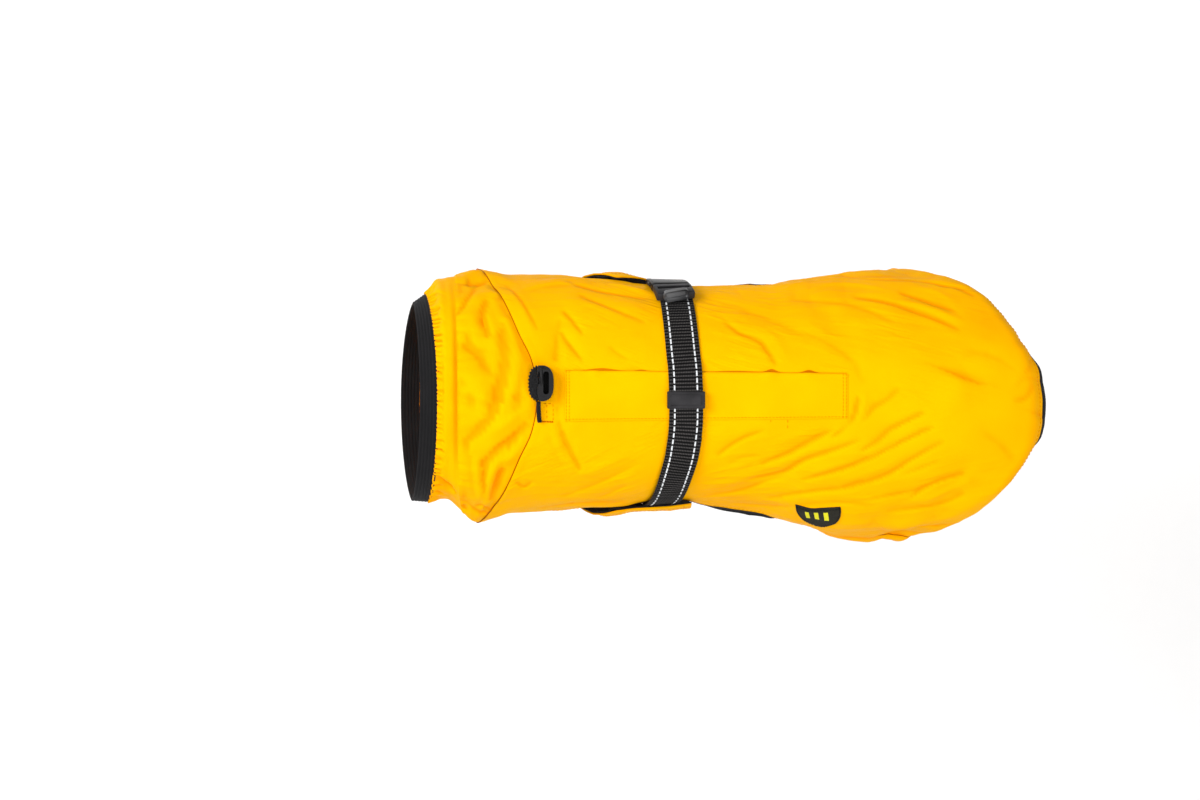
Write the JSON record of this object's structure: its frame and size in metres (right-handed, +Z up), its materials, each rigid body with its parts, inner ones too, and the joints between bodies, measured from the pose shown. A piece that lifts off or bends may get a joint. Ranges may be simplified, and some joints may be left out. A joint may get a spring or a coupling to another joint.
{
  "type": "dog raincoat",
  "caption": "Hollow dog raincoat in its worn shape, with a ribbed elastic neck, belly wings, a webbing belt with a side-release buckle, and a cord lock.",
  "frame": {"origin": "the inner face of the back panel on the spine, over the withers, where the wearer's back holds it", "axes": "+X along the spine from the neck to the tail, +Y to the wearer's right, +Z up out of the back"},
  "size_m": [0.4716, 0.2062, 0.1497],
  "materials": {
    "coated_cloth": "yellow coated polyester, a soft sheen",
    "black_cloth": "black cloth: binding tape, lining and ribbed elastic",
    "webbing": "black woven webbing with white reflective dashes, and black cord",
    "black_plastic": "moulded black acetal, satin"
  },
  "bodies": {
    "root": {"back_panel": "coated_cloth", "back_binding": "black_cloth", "collar": "coated_cloth", "neck_casing": "coated_cloth", "neck_band": "black_cloth", "belly_panel": "coated_cloth", "belly_lining": "black_cloth", "harness_flap": "coated_cloth", "belt": "webbing", "belt_return": "webbing", "belt_keeper": "black_plastic", "buckle_tab": "webbing", "buckle_socket": "black_plastic", "buckle_prongs": "black_plastic", "cord_lock_body": "black_plastic", "cord_lock_slide": "black_plastic", "drawcord": "webbing"}
  },
  "joints": []
}
